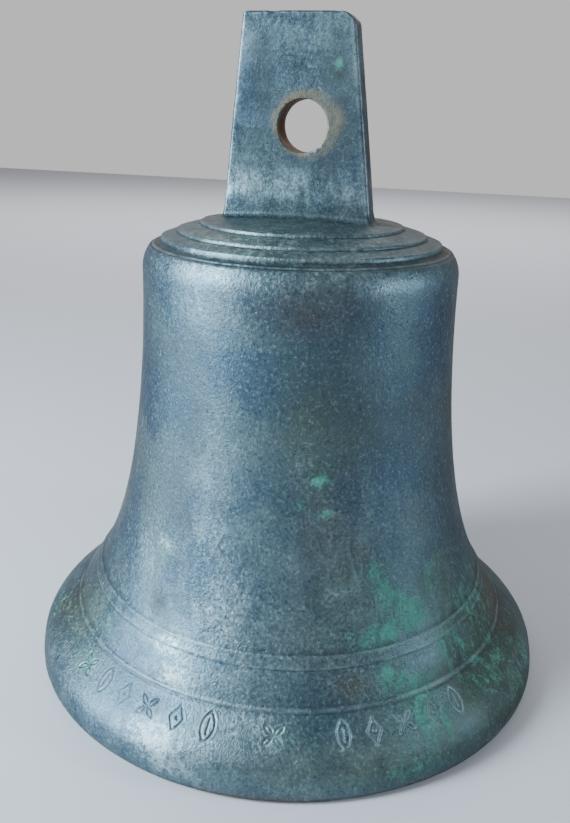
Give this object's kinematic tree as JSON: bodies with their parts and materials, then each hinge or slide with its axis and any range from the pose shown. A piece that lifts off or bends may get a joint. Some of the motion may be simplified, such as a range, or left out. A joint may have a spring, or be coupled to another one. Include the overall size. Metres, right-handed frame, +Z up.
{
  "type": "ship bell",
  "caption": "Cast bronze hanging bell with a flat drilled tang for a bolt, and an iron clapper on a clevis that swings inside it.",
  "frame": {"origin": "centre of the flat ring at the lip that the bell stands on", "axes": "+Z up the bell's axis to the tang, +Y along the bolt hole through the tang, the clapper swings along X"},
  "size_m": [0.24, 0.24, 0.2834],
  "materials": {
    "aged_bronze": "cast, dark blue-grey patina with green verdigris, half matt",
    "forged_iron": "forged, dark with light rust, matt",
    "steel_fixings": "turned, dull and oxidised",
    "split_pin_brass": "drawn wire, tarnished"
  },
  "bodies": {
    "bell": {"bell_casting": "aged_bronze", "hanging_tang": "aged_bronze", "clapper_clevis": "forged_iron", "clevis_washer": "steel_fixings", "clevis_lock_nut": "steel_fixings", "pivot_pin": "steel_fixings", "pin_washer": "steel_fixings", "split_pin": "split_pin_brass"},
    "clapper": {"clapper_shaft": "forged_iron", "clapper_ball": "forged_iron", "lanyard_eye": "steel_fixings"}
  },
  "joints": [
    {"name": "clapper_swing", "type": "hinge", "parent": "bell", "child": "clapper", "pos_m": [0, 0, 0.1635], "axis": [0, 1, 0], "range_deg": [-28.8, 28.8]}
  ]
}
